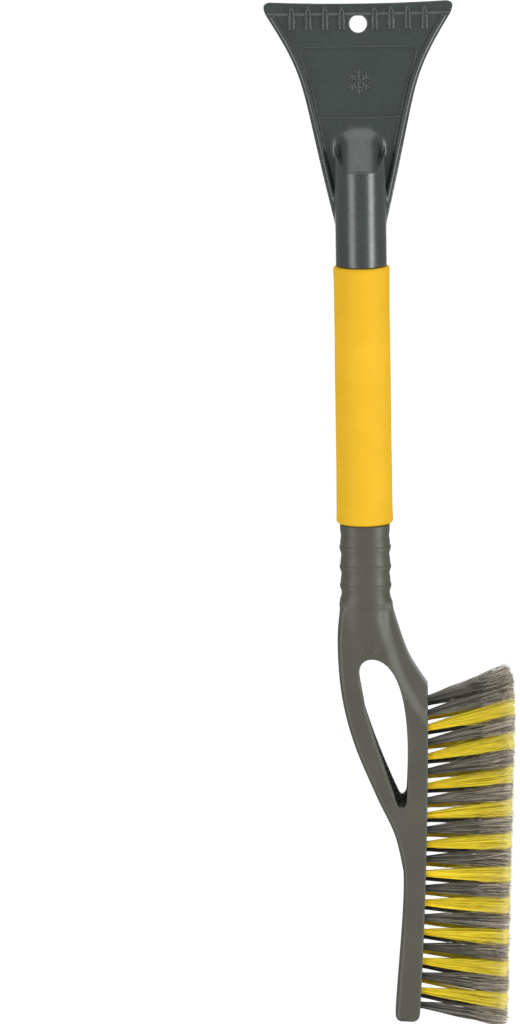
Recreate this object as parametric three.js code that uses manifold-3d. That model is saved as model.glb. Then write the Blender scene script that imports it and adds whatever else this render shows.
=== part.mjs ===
// Snow brush with an ice scraper blade: a scraper head and a brush stock pushed on the two ends of
// a steel tube, a foam grip between them, and two staggered rows of bristle tufts in the stock.
// Millimetres, +Z up. The tool hangs from the hole in its blade, blade up and bristles towards +X,
// and its front faces -Y. The origin is the middle of the hang hole.

import * as THREE from 'three';
import { mergeVertices } from 'three/addons/utils/BufferGeometryUtils.js';
import Module from 'manifold-3d';

const wasm = await Module();
wasm.setup();

const degree = Math.PI / 180;

// ---------------------------------------------------------------------------------------------
// Driving dimensions. Heights are measured from the hang hole, widths from the axis of the tube.
// ---------------------------------------------------------------------------------------------

const clearance = 0.3;

const blade = {
  lean: 8 * degree,
  thickness: 3.5,
  setback: 20.4,
  halfWidth: 55.4,
  cornerHeight: 13.1,
  middleHeight: 11.7,
  cornerRadius: 3,
  foot: -124,
  footHalfWidth: 13,
  edgeThickness: 1.1,
  bevelHeight: 5.6,
};

const hangHole = { diameter: 10 };

const rim = { width: 4, rise: 2 };

const iceRib = { count: 8, pitch: 9.7, width: 3, bottom: -3.2, top: 9.6, rise: 1.3, middleGap: 19.2 };

const panel = { top: -13.4, bottom: -54.6, topHalfWidth: 34.5, bottomHalfWidth: 25, radius: 3.5, depth: 0.6 };

const snowflake = { height: -33.5, armLength: 7, armWidth: 1, branchLength: 2.6, branchAt: 4, rise: 0.5 };

const socket = {
  radius: 14.9,
  bottom: -138.9,
  crest: -82.4,
  slope: 0.66,
  rampSlope: 0.89,
  rampHalfWidth: 11,
  rampTop: -58,
  boreEnd: -92,
};

const tube = { radius: 11, wall: 0.8 };

const foam = { radius: 16, endRadius: 16.5, length: 151.8, edge: 1.5 };

const collar = {
  radius: 13.9,
  ringRise: 0.7,
  ringCount: 4,
  firstRing: 1.4,
  ringPitch: 11.2,
  depthRatio: 0.93,
  boreLength: 40,
};

const stock = { bottom: -584.4, depth: 22, chamfer: 2, cornerRadius: 5, faceTop: -387, faceBulge: 1.6 };
stock.openingLedge = 6;
stock.faceTopX = 35.4;
stock.faceBottomX = 28;

const tuft = {
  frontCount: 22,
  backCount: 21,
  firstHeight: -394.3,
  pitch: 8.6,
  rowOffset: 6,
  rootRadius: 2,
  holeRadius: 2.3,
  holeDepth: 8.4,
  rootDepth: 8,
  freeLength: 50,
  tipHalfHeight: 4,
  tipHalfDepth: 5.4,
  topLean: 16 * degree,
  levelIndex: 11.5,
  bottomLean: -9 * degree,
};

// Heights that follow from the stack along the tube.
const foamTop = socket.bottom - clearance;
const foamBottom = foamTop - foam.length;
const collarTop = foamBottom - clearance;
const tubeTop = socket.boreEnd - clearance;
const stockBoreEnd = collarTop - collar.boreLength;
const tubeBottom = stockBoreEnd + clearance;

// ---------------------------------------------------------------------------------------------
// Materials
// ---------------------------------------------------------------------------------------------

const materials = {
  head: { color: 0x474e4b, roughness: 0.5, metalness: 0 },
  stock: { color: 0x5f5e55, roughness: 0.5, metalness: 0 },
  foam: { color: 0xf0c22a, roughness: 0.9, metalness: 0 },
  steel: { color: 0x8d9194, roughness: 0.35, metalness: 0.9 },
  yellowBristle: { color: 0xe2c13f, roughness: 0.6, metalness: 0 },
  darkBristle: { color: 0x4e4c47, roughness: 0.6, metalness: 0 },
};

function makeMesh(name, geometry, materialKey) {
  const mesh = new THREE.Mesh(geometry, new THREE.MeshStandardMaterial(materials[materialKey]));
  mesh.name = name;
  return mesh;
}

// ---------------------------------------------------------------------------------------------
// Solids: closed three.js geometry in and out of manifold-3d
// ---------------------------------------------------------------------------------------------

function toSolid(geometry) {
  const bare = geometry.index ? geometry.toNonIndexed() : geometry.clone();
  bare.deleteAttribute('normal');
  bare.deleteAttribute('uv');
  const merged = mergeVertices(bare, 1e-5);
  const mesh = new wasm.Mesh({
    numProp: 3,
    vertProperties: new Float32Array(merged.attributes.position.array),
    triVerts: new Uint32Array(merged.index.array),
  });
  return new wasm.Manifold(mesh);
}

function toGeometry(solid) {
  const mesh = solid.getMesh();
  const geometry = new THREE.BufferGeometry();
  geometry.setAttribute('position', new THREE.BufferAttribute(new Float32Array(mesh.vertProperties), 3));
  geometry.setIndex(new THREE.BufferAttribute(new Uint32Array(mesh.triVerts), 1));
  geometry.computeVertexNormals();
  return geometry;
}

function boxSolid(from, to) {
  const size = to.map((value, axis) => value - from[axis]);
  const middle = to.map((value, axis) => (value + from[axis]) / 2);
  const geometry = new THREE.BoxGeometry(...size);
  geometry.translate(...middle);
  return toSolid(geometry);
}

// An upright cylinder on the tube's axis between two heights.
function uprightCylinder(radius, bottom, top, segments) {
  const geometry = new THREE.CylinderGeometry(radius, radius, top - bottom, segments);
  geometry.rotateX(90 * degree);
  geometry.translate(0, 0, (top + bottom) / 2);
  return toSolid(geometry);
}

// A shape drawn in front view (x, height) and extruded from one depth to another, front at -Y.
function frontExtrusion(shape, frontDepth, backDepth, options = {}) {
  const chamfer = options.chamfer ?? 0;
  const geometry = new THREE.ExtrudeGeometry(shape, {
    depth: backDepth - frontDepth - 2 * chamfer,
    bevelEnabled: chamfer > 0,
    bevelThickness: chamfer,
    bevelSize: chamfer,
    bevelOffset: -chamfer,
    bevelSegments: 1,
    curveSegments: options.curveSegments ?? 8,
  });
  geometry.rotateX(90 * degree);
  geometry.translate(0, backDepth - chamfer, 0);
  return toSolid(geometry);
}

// ---------------------------------------------------------------------------------------------
// Scraper head. The blade plate is made upright with its mid-plane at depth 0 and leant afterwards.
// ---------------------------------------------------------------------------------------------

// The blade's outline, drawn in by `inset` at both sides and stretched past its ends by `overrun`.
function bladeShape(inset = 0, overrun = 0) {
  const width = blade.halfWidth - inset;
  const top = blade.cornerHeight + overrun;
  const radius = overrun > 0 ? 0.1 : blade.cornerRadius;
  const foot = blade.foot - overrun;
  const footWidth = blade.footHalfWidth - inset;
  const shape = new THREE.Shape();
  shape.moveTo(-footWidth, foot);
  shape.lineTo(footWidth, foot);
  shape.lineTo(footWidth, blade.foot);
  shape.bezierCurveTo(36.6 - inset, -29.5, 26.6 - inset, -37, width - 0.8, 8.4);
  shape.quadraticCurveTo(width + 1, top, width - radius, top);
  shape.quadraticCurveTo(0, 2 * (blade.middleHeight + overrun) - top, -width + radius, top);
  shape.quadraticCurveTo(-width - 1, top, -width + 0.8, 8.4);
  shape.bezierCurveTo(-26.6 + inset, -37, -36.6 + inset, -29.5, -footWidth, blade.foot);
  return shape;
}

function panelShape() {
  const { top, bottom, topHalfWidth, bottomHalfWidth, radius } = panel;
  const slant = ((topHalfWidth - bottomHalfWidth) / (top - bottom)) * radius;
  const shape = new THREE.Shape();
  shape.moveTo(-bottomHalfWidth + radius, bottom);
  shape.lineTo(bottomHalfWidth - radius, bottom);
  shape.quadraticCurveTo(bottomHalfWidth, bottom, bottomHalfWidth + slant, bottom + radius);
  shape.lineTo(topHalfWidth - slant, top - radius);
  shape.quadraticCurveTo(topHalfWidth, top, topHalfWidth - radius, top);
  shape.lineTo(-topHalfWidth + radius, top);
  shape.quadraticCurveTo(-topHalfWidth, top, -topHalfWidth + slant, top - radius);
  shape.lineTo(-bottomHalfWidth - slant, bottom + radius);
  shape.quadraticCurveTo(-bottomHalfWidth, bottom, -bottomHalfWidth + radius, bottom);
  return shape;
}

function snowflakeSolids() {
  const floor = -blade.thickness / 2 + panel.depth;
  const solids = [];
  for (let arm = 0; arm < 6; arm += 1) {
    const bars = [new THREE.BoxGeometry(snowflake.armWidth, 2 * snowflake.rise, snowflake.armLength)];
    bars[0].translate(0, 0, snowflake.armLength / 2);
    for (const side of [-1, 1]) {
      const branch = new THREE.BoxGeometry(snowflake.armWidth * 0.8, 2 * snowflake.rise, snowflake.branchLength);
      branch.translate(0, 0, snowflake.branchLength / 2);
      branch.rotateY(side * 60 * degree);
      branch.translate(0, 0, snowflake.branchAt);
      bars.push(branch);
    }
    for (const bar of bars) {
      bar.rotateY(arm * 60 * degree);
      bar.translate(0, floor, snowflake.height);
      solids.push(toSolid(bar));
    }
  }
  return solids;
}

function bladeSolid() {
  const half = blade.thickness / 2;
  let solid = frontExtrusion(bladeShape(), -half, half);

  const rimBlock = frontExtrusion(bladeShape(), -half - rim.rise, -half + 0.5);
  const rimHollow = frontExtrusion(bladeShape(rim.width, 6), -half - rim.rise - 1, -half + 1);
  solid = solid.add(rimBlock.subtract(rimHollow));

  // The scraping edge thins towards the top of the front face, across the rims as well.
  const bevelRun = blade.cornerHeight - blade.bevelHeight;
  const bevelDrop = blade.thickness - blade.edgeThickness;
  const bevelShape = new THREE.Shape();
  bevelShape.moveTo(-half, blade.bevelHeight);
  bevelShape.lineTo(-half + bevelDrop, blade.bevelHeight + bevelRun);
  bevelShape.lineTo(-half + bevelDrop, blade.cornerHeight + 8);
  bevelShape.lineTo(-half - 12, blade.cornerHeight + 8);
  bevelShape.lineTo(-half - 12, blade.bevelHeight - 5);
  const bevel = new THREE.ExtrudeGeometry(bevelShape, { depth: 140, bevelEnabled: false });
  bevel.translate(0, 0, -70);
  // Extruded along +Z with (depth, height) in its plane: turn the plane upright, extrusion along X.
  bevel.applyMatrix4(new THREE.Matrix4().set(0, 0, 1, 0, 1, 0, 0, 0, 0, 1, 0, 0, 0, 0, 0, 1));
  solid = solid.subtract(toSolid(bevel));

  const ribsPerSide = iceRib.count / 2;
  for (let index = 0; index < ribsPerSide; index += 1) {
    const middle = iceRib.middleGap / 2 + index * iceRib.pitch;
    for (const side of [-1, 1]) {
      const from = [side * middle - iceRib.width / 2, -half - iceRib.rise, iceRib.bottom];
      const to = [side * middle + iceRib.width / 2, half - 0.4, iceRib.top];
      solid = solid.add(boxSolid(from, to));
    }
  }

  solid = solid.subtract(frontExtrusion(panelShape(), -half - 1, -half + panel.depth));
  for (const bar of snowflakeSolids()) {
    solid = solid.add(bar);
  }

  const hole = new THREE.CylinderGeometry(hangHole.diameter / 2, hangHole.diameter / 2, 20, 32);
  return solid.subtract(toSolid(hole));
}

// Leans and sets back a solid made in the blade's upright frame.
function toBladePlace(solid) {
  return solid.rotate([-blade.lean / degree, 0, 0]).translate([0, blade.setback, 0]);
}

// The ramp from the front of the socket back to the blade: the socket's own round front, sheared
// backwards above the crest, narrowed at both sides and ended inside the blade plate.
function rampSolid() {
  const bottom = socket.crest - 2;
  const top = socket.rampTop;
  const geometry = new THREE.CylinderGeometry(socket.radius, socket.radius, top - socket.crest, 48);
  geometry.rotateX(90 * degree);
  geometry.translate(0, 0, (top + socket.crest) / 2);
  const position = geometry.attributes.position;
  for (let index = 0; index < position.count; index += 1) {
    const setBack = (position.getZ(index) - socket.crest) / socket.rampSlope;
    position.setY(index, position.getY(index) + setBack);
  }
  const strip = boxSolid([-socket.rampHalfWidth, -60, bottom], [socket.rampHalfWidth, 60, top + 1]);
  const inFrontOfBlade = toBladePlace(boxSolid([-60, -90, -160], [60, 0, 40]));
  return toSolid(geometry).intersect(strip).intersect(inFrontOfBlade);
}

function scraperHead() {
  const cutter = new THREE.BoxGeometry(60, 120, 80);
  cutter.translate(0, 0, 40);
  cutter.rotateX(Math.atan(socket.slope));
  cutter.translate(0, -socket.radius, socket.crest);
  const barrel = uprightCylinder(socket.radius, socket.bottom, socket.rampTop, 48).subtract(toSolid(cutter));
  const bore = uprightCylinder(tube.radius + clearance, socket.bottom - 1, socket.boreEnd, 48);
  const solid = toBladePlace(bladeSolid()).add(barrel).add(rampSolid()).subtract(bore);
  return makeMesh('scraper_head', toGeometry(solid), 'head');
}

// ---------------------------------------------------------------------------------------------
// Tube and foam grip
// ---------------------------------------------------------------------------------------------

// A ring turned around the tube's axis from a closed profile of (radius, height) points.
function turned(profile, segments) {
  const points = profile.map(([radius, height]) => new THREE.Vector2(radius, height));
  const geometry = new THREE.LatheGeometry(points, segments);
  geometry.rotateX(90 * degree);
  return geometry;
}

function handleTube() {
  const inner = tube.radius - tube.wall;
  const profile = [
    [inner, tubeBottom],
    [tube.radius, tubeBottom],
    [tube.radius, tubeTop],
    [inner, tubeTop],
    [inner, tubeBottom],
  ];
  return makeMesh('handle_tube', toGeometry(toSolid(turned(profile, 40))), 'steel');
}

function foamGrip() {
  const inner = tube.radius + clearance;
  const { edge, endRadius, radius } = foam;
  const profile = [
    [inner, foamBottom],
    [endRadius - edge, foamBottom],
    [endRadius, foamBottom + edge],
    [radius, foamBottom + 5 * edge],
    [radius, foamTop - 5 * edge],
    [endRadius, foamTop - edge],
    [endRadius - edge, foamTop],
    [inner, foamTop],
    [inner, foamBottom],
  ];
  return makeMesh('foam_grip', toGeometry(toSolid(turned(profile, 40))), 'foam');
}

// ---------------------------------------------------------------------------------------------
// Brush stock
// ---------------------------------------------------------------------------------------------

// Width of the stock's brush face at a height: nearly straight, bowed out a little in the middle.
function faceX(height) {
  const share = (stock.faceTop - height) / (stock.faceTop - stock.bottom);
  const straight = stock.faceTopX + (stock.faceBottomX - stock.faceTopX) * share;
  return straight + 4 * stock.faceBulge * share * (1 - share);
}

function stockShape() {
  const shape = new THREE.Shape();
  const points = (pairs) => pairs.map(([x, height]) => new THREE.Vector2(x, height));
  const middleHeight = (stock.faceTop + stock.bottom) / 2;
  const corner = stock.cornerRadius;
  shape.moveTo(-14.2, -336);
  shape.splineThru(points([[-16.8, -360], [-14.9, -391], [-8, -420], [4.5, -451], [14.9, -474], [19.6, -495]]));
  shape.bezierCurveTo(20.6, -515, 16.6, -545, 14, stock.bottom + corner);
  shape.quadraticCurveTo(13.8, stock.bottom, 13.8 + corner, stock.bottom);
  shape.lineTo(stock.faceBottomX - corner, stock.bottom);
  shape.quadraticCurveTo(stock.faceBottomX, stock.bottom, faceX(stock.bottom + corner), stock.bottom + corner);
  shape.quadraticCurveTo(faceX(middleHeight) + stock.faceBulge, middleHeight, stock.faceTopX, stock.faceTop);
  shape.splineThru(points([[25, -370], [18.6, -352], [14.2, -336]]));
  return shape;
}

// The hand opening: wide under the neck, narrowing to the right along the curved strut.
function openingShape(bottomHeight, inset) {
  const shape = new THREE.Shape();
  shape.moveTo(22.1, bottomHeight + 3);
  shape.bezierCurveTo(24.4, -420, 23.5, -390, 14, -377);
  shape.bezierCurveTo(9, -370, 1, -368.4, -2.6, -372.6);
  shape.bezierCurveTo(-6.4, -377, -3.4, -386, -1.4, -400);
  shape.bezierCurveTo(2 + inset, -415, 9 + inset, -434, 17 + inset, bottomHeight + 1.4);
  shape.quadraticCurveTo(20, bottomHeight - 1.2, 22.1, bottomHeight + 3);
  return shape;
}

// Rings that bulge between narrow notches, the first one cut in half by the collar's top edge.
function collarProfile() {
  const profile = [[0, collarTop], [collar.radius, collarTop]];
  const stepsPerRing = 4;
  for (let step = 0; step <= (collar.ringCount - 0.5) * stepsPerRing; step += 1) {
    const bulge = Math.cos((step / stepsPerRing) * Math.PI) ** 2;
    const height = collarTop - collar.firstRing - (step / stepsPerRing) * collar.ringPitch;
    profile.push([collar.radius + collar.ringRise * bulge, height]);
  }
  const end = profile[profile.length - 1][1];
  profile.push([collar.radius + 0.6, end - 5], [collar.radius - 1.4, end - 16], [8, end - 28], [0, end - 31]);
  return profile.reverse();
}

// Where a tuft leaves the brush face, and how far it leans up.
function tuftPlace(row, index) {
  const rowIndex = index + (row === 'back' ? 0.5 : 0);
  const height = tuft.firstHeight - rowIndex * tuft.pitch;
  const aboveLevel = (tuft.levelIndex - rowIndex) / tuft.levelIndex;
  const belowLevel = (rowIndex - tuft.levelIndex) / (tuft.frontCount - tuft.levelIndex);
  const lean = aboveLevel > 0 ? tuft.topLean * aboveLevel : tuft.bottomLean * belowLevel;
  const depth = row === 'back' ? tuft.rowOffset : -tuft.rowOffset;
  return { x: faceX(height), depth, height, lean };
}

// Turns a geometry made along +X from the brush face, and moves it to a tuft's place.
function placeAtTuft(geometry, place) {
  geometry.rotateY(-place.lean);
  geometry.translate(place.x, place.depth, place.height);
  return geometry;
}

function tuftHole(place) {
  const geometry = new THREE.CylinderGeometry(tuft.holeRadius, tuft.holeRadius, tuft.holeDepth + 4, 10);
  geometry.rotateZ(90 * degree);
  geometry.translate(2 - tuft.holeDepth / 2, 0, 0);
  return toSolid(placeAtTuft(geometry, place));
}

function brushStock(places) {
  const halfDepth = stock.depth / 2;
  let solid = frontExtrusion(stockShape(), -halfDepth, halfDepth, { chamfer: stock.chamfer, curveSegments: 4 });
  const rings = turned(collarProfile(), 40);
  rings.scale(1, collar.depthRatio, 1);
  solid = solid.add(toSolid(rings));
  solid = solid.subtract(frontExtrusion(openingShape(-458.6, 0), -halfDepth - 3, stock.openingLedge));
  solid = solid.subtract(frontExtrusion(openingShape(-452.8, 1), -halfDepth - 3, halfDepth + 3));
  solid = solid.subtract(uprightCylinder(tube.radius + clearance, stockBoreEnd, collarTop + 1, 40));
  for (const place of places) {
    solid = solid.subtract(tuftHole(place));
  }
  return makeMesh('brush_stock', toGeometry(solid), 'stock');
}

// A tuft: a round root in its hole, spreading to an oval brush end.
function tuftMesh(name, place, materialKey) {
  const length = tuft.rootDepth + tuft.freeLength;
  const geometry = new THREE.CylinderGeometry(1, 1, length, 10, 2);
  geometry.rotateZ(-90 * degree);
  geometry.translate(length / 2 - tuft.rootDepth, 0, 0);
  const position = geometry.attributes.position;
  for (let index = 0; index < position.count; index += 1) {
    // Three stations along the tuft: root, brush face and tip.
    const along = position.getX(index);
    const station = along < 1 - tuft.rootDepth ? 0 : along > tuft.freeLength - 1 ? 2 : 1;
    const x = [-tuft.rootDepth, 0.5, tuft.freeLength][station];
    const halfDepth = station === 2 ? tuft.tipHalfDepth : tuft.rootRadius;
    const halfHeight = station === 2 ? tuft.tipHalfHeight : tuft.rootRadius;
    position.setXYZ(index, x, position.getY(index) * halfDepth, position.getZ(index) * halfHeight);
  }
  return makeMesh(name, toGeometry(toSolid(placeAtTuft(geometry, place))), materialKey);
}

// ---------------------------------------------------------------------------------------------
// Assembly
// ---------------------------------------------------------------------------------------------

const tool = new THREE.Group();
const places = [];
for (const [row, count] of [['front', tuft.frontCount], ['back', tuft.backCount]]) {
  for (let index = 0; index < count; index += 1) {
    const place = tuftPlace(row, index);
    // The first tuft of the front row is dark, and from the second on the colours alternate.
    const dark = row === 'front' ? index === 0 || index % 2 === 1 : index % 2 === 0;
    places.push(place);
    const number = String(index + 1).padStart(2, '0');
    tool.add(tuftMesh(`tuft_${row}_${number}`, place, dark ? 'darkBristle' : 'yellowBristle'));
  }
}
tool.add(scraperHead());
tool.add(handleTube());
tool.add(foamGrip());
tool.add(brushStock(places));
tool.position.set(0, -blade.setback, 0);

const group = new THREE.Group();
group.add(tool);

export default group;
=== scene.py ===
"""Looks for the snow brush with an ice scraper blade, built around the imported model.

Pieces are made in millimetres in the tool's own frame: x to the right, y to the back and z up, with
the tube's axis at x = y = 0 and heights measured from the hang hole. They are placed in metres.
The two mouldings are meshed from distance fields, the foam is turned, and each tuft is a bundle of
single filaments.
"""

import math

import bpy
import numpy as np
from mathutils import Matrix, Vector


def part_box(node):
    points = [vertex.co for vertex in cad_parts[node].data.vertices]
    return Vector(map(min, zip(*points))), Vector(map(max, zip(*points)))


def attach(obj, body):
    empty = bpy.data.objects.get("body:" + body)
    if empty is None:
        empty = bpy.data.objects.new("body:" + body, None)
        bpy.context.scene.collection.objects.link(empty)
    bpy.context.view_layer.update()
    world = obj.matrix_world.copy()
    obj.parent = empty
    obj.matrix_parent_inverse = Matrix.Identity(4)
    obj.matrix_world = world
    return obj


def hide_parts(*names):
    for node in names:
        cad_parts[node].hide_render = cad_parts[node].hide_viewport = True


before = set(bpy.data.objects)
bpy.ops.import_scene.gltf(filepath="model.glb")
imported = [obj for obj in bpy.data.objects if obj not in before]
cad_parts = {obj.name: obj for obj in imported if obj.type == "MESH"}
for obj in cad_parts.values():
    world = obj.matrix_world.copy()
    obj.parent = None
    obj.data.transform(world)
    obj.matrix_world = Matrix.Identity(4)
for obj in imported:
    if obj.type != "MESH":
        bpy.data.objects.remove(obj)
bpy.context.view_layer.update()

MM = 0.001

# ------------------------------------------------------------------------------------------------
# Places and sizes taken from the CAD nodes
# ------------------------------------------------------------------------------------------------

tube_low, tube_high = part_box("handle_tube")
foam_low, foam_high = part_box("foam_grip")
head_low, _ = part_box("scraper_head")
stock_low, stock_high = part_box("brush_stock")

AXIS_Y = (tube_low.y + tube_high.y) / 2 / MM
TUBE_TOP = tube_high.z / MM
TUBE_BOTTOM = tube_low.z / MM
BORE_RADIUS = (tube_high.x - tube_low.x) / 2 / MM + 0.3
FOAM_TOP = foam_high.z / MM
FOAM_BOTTOM = foam_low.z / MM
SOCKET_BOTTOM = head_low.z / MM
COLLAR_TOP = stock_high.z / MM
STOCK_BOTTOM = stock_low.z / MM

# ------------------------------------------------------------------------------------------------
# Driving dimensions, in millimetres
# ------------------------------------------------------------------------------------------------

# The blade plate leans back. Its own heights run up the plate, and it is symmetric from side to side.
LEAN = math.radians(8)
SETBACK = -AXIS_Y
BLADE_HALF = 1.75
BLADE_FOOT = -124.0
BLADE_CORNER = 5.0
SCRAPE_MIDDLE = 11.8
SCRAPE_RISE = 1.35
SCRAPE_HALF = 54.0
BEVEL_HEIGHT = 5.6
BEVEL_STEP = 0.9
BEVEL_SLOPE = 0.17
HOLE_RADIUS = 5.1

# The rims along the plate's sides change from their upper to their lower form between two heights.
RIM_RADIUS = 2.2
RIM_LOW_RADIUS = 1.6
RIM_RISE = 1.6
RIM_LOW_RISE = 2.8
RIM_CHANGE_TOP = -20.0
RIM_CHANGE_LENGTH = 60.0
RIM_CUT_UP = 0.923
RIM_CUT_OUT = 0.385

# Ice ribs, four on each side of the hang hole.
RIB_RISE = 1.0
RIB_FIRST = 9.6
RIB_PITCH = 9.7
RIB_HALF_WIDTH = 1.5
RIB_BOTTOM = -3.2
RIB_TOP = 9.4
RIB_ARCH_DROP = 1.7

# The sunken panel and its emblem.
PANEL_TOP = -13.4
PANEL_BOTTOM = -54.6
PANEL_TOP_HALF = 34.5
PANEL_BOTTOM_HALF = 25.0
PANEL_SLOPE = (PANEL_TOP_HALF - PANEL_BOTTOM_HALF) / (PANEL_TOP - PANEL_BOTTOM)
PANEL_CORNER = 3.5
PANEL_DEPTH = 0.6
EMBLEM_HEIGHT = -33.5

# The socket: a barrel cut off at the crest with an ear left standing at each side, and the ramp that
# rises from the crest to the plate.
SOCKET_RADIUS = 14.9
CREST = -82.4
CREST_SLOPE = 0.55
CREST_REACH = 3.0
EAR_RISE = 9.9
EAR_START = 10.4
RAMP_SLOPE = 0.89
RAMP_HALF_WIDTH = 12.2
RAMP_POWER = 5.0
RAMP_TOP = -58.0

# The stock's collar, with five rings.
COLLAR_RADIUS = 13.9
COLLAR_DEPTH_RATIO = 0.93
COLLAR_POWER = 2.6
COLLAR_END = -378.0
RING_RISE = 0.65
LEDGE_RISE = 0.55
RING_PITCH = 11.2
FIRST_RING = COLLAR_TOP - 1.4
RINGS_END = -346.0
SINK_TOP = -334.0
SINK_LENGTH = 42.0

# The stock's body, and the face that holds the bristles.
STOCK_HALF_DEPTH = 11.0
FLANK_DROP = 2.2
FACE_TOP = -387.0
FACE_TOP_X = 35.4
FACE_BOTTOM_X = 28.0
FACE_BULGE = 1.6
OPENING_STEP_DEPTH = 6.0
EJECTOR_PINS = ((1.6, -363.3, 4.1), (28.3, -422.5, 3.2), (28.0, -469, 3.2))

# Tufts are numbered from the top. The back row lies half a pitch lower than the front row.
TUFT_FRONT = 22
TUFT_BACK = 21
TUFT_FIRST = -394.3
TUFT_PITCH = 8.6
TUFT_ROW = 6.0
TUFT_ROOT_DEPTH = 7.6
TUFT_HOLE_RADIUS = 2.25
TUFT_HOLE_DEPTH = 8.2
TUFT_TOP_LEAN = math.radians(16)
TUFT_LEVEL = 11.5
TUFT_BOTTOM_LEAN = math.radians(-10)
TRIM_X = 85.1
TRIM_TURN = -396.6
BRISTLE_LIMIT_X = 86.0
BRISTLE_LIMIT_DEPTH = 13.0
FILAMENTS = 105

HEAD_STEP = 0.58
STOCK_STEP = 0.76

# The picture: its height, the camera's angles, and the hang hole's place right of and above the
# picture's middle, in metres.
VIEW_HEIGHT = 0.596
VIEW_ELEVATION = math.radians(9.5)
VIEW_ROLL = math.radians(0.78)
HOLE_RIGHT = 0.05707
HOLE_ABOVE = 0.2839


# ------------------------------------------------------------------------------------------------
# Distance field helpers
# ------------------------------------------------------------------------------------------------

def smooth(t):
    """Ease from 0 to 1 as t goes from 0 to 1."""
    t = np.clip(t, 0.0, 1.0)
    return t * t * (3 - 2 * t)


def join(a, b, blend):
    """Union of two fields, filleted over `blend`."""
    h = np.clip(0.5 + 0.5 * (b - a) / blend, 0.0, 1.0)
    return b * (1 - h) + a * h - blend * h * (1 - h)


def common(a, b, blend):
    """Intersection of two fields, rounded over `blend`."""
    return -join(-a, -b, blend)


def rounded_edge(a, b, radius):
    """Intersection of two fields with a round edge of that radius."""
    a = a + radius
    b = b + radius
    return np.minimum(np.maximum(a, b), 0) + np.hypot(np.maximum(a, 0), np.maximum(b, 0)) - radius


def superellipse(across, deep, power):
    """1 on the rim of a rounded box whose half sizes are 1, and less inside it."""
    return (np.abs(across) ** power + np.abs(deep) ** power) ** (1 / power)


def bezier(p0, p1, p2, p3, count=24):
    """A cubic curve without its last point."""
    t = np.linspace(0, 1, count, endpoint=False)[:, None]
    p0, p1, p2, p3 = (np.array(p, float) for p in (p0, p1, p2, p3))
    return p0 * (1 - t) ** 3 + 3 * p1 * t * (1 - t) ** 2 + 3 * p2 * t * t * (1 - t) + p3 * t ** 3


def quadratic(p0, p1, p2, count=10):
    """A curve from p0 to p2 that turns towards p1, without its last point."""
    p0, p1, p2 = (np.array(p, float) for p in (p0, p1, p2))
    return bezier(p0, p0 + (p1 - p0) * 2 / 3, p2 + (p1 - p2) * 2 / 3, p2, count)


def spline(points, count=8):
    """A smooth curve through the points, without its last point."""
    points = np.array(points, float)
    padded = np.vstack([points[0], points, points[-1]])
    pieces = []
    for start in range(len(points) - 1):
        a, b, c, d = padded[start:start + 4]
        pieces.append(bezier(b, b + (c - a) / 6, c - (d - b) / 6, c, count))
    return np.vstack(pieces)


class Outline:
    """Signed distance from a closed outline in front view, looked up on a fine grid."""

    def __init__(self, points, margin=12.0, step=0.4):
        points = np.array(points, float)
        self.step = step
        self.low = points.min(0) - margin
        counts = np.ceil((points.max(0) + margin - self.low) / step).astype(int) + 2
        gx, gz = np.meshgrid(*(self.low[a] + step * np.arange(counts[a]) for a in (0, 1)), indexing="ij")
        nearest = np.full(gx.shape, 1e9)
        inside = np.zeros(gx.shape, bool)
        for (x0, z0), (x1, z1) in zip(points, np.roll(points, -1, axis=0)):
            dx, dz = x1 - x0, z1 - z0
            t = np.clip(((gx - x0) * dx + (gz - z0) * dz) / (dx * dx + dz * dz), 0, 1)
            nearest = np.minimum(nearest, (gx - x0 - t * dx) ** 2 + (gz - z0 - t * dz) ** 2)
            if dz != 0:
                inside ^= ((z0 > gz) != (z1 > gz)) & (gx < x0 + (gz - z0) * dx / dz)
        self.grid = np.where(inside, -1, 1) * np.sqrt(nearest)

    def __call__(self, x, z):
        u = np.clip((x - self.low[0]) / self.step, 0, self.grid.shape[0] - 1.001)
        w = np.clip((z - self.low[1]) / self.step, 0, self.grid.shape[1] - 1.001)
        i, k = u.astype(int), w.astype(int)
        u, w = u - i, w - k
        low = self.grid[i, k] * (1 - u) + self.grid[i + 1, k] * u
        high = self.grid[i, k + 1] * (1 - u) + self.grid[i + 1, k + 1] * u
        return low * (1 - w) + high * w


# ------------------------------------------------------------------------------------------------
# Meshing. A part is (vertices, normals, quads).
# ------------------------------------------------------------------------------------------------

def gradient(field, points, reach):
    """The field's slope at each point, from its values on both sides."""
    slopes = []
    for axis in range(3):
        offset = np.zeros(3)
        offset[axis] = reach
        slopes.append(field(*(points + offset).T) - field(*(points - offset).T))
    return np.stack(slopes, axis=1) / (2 * reach)


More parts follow.
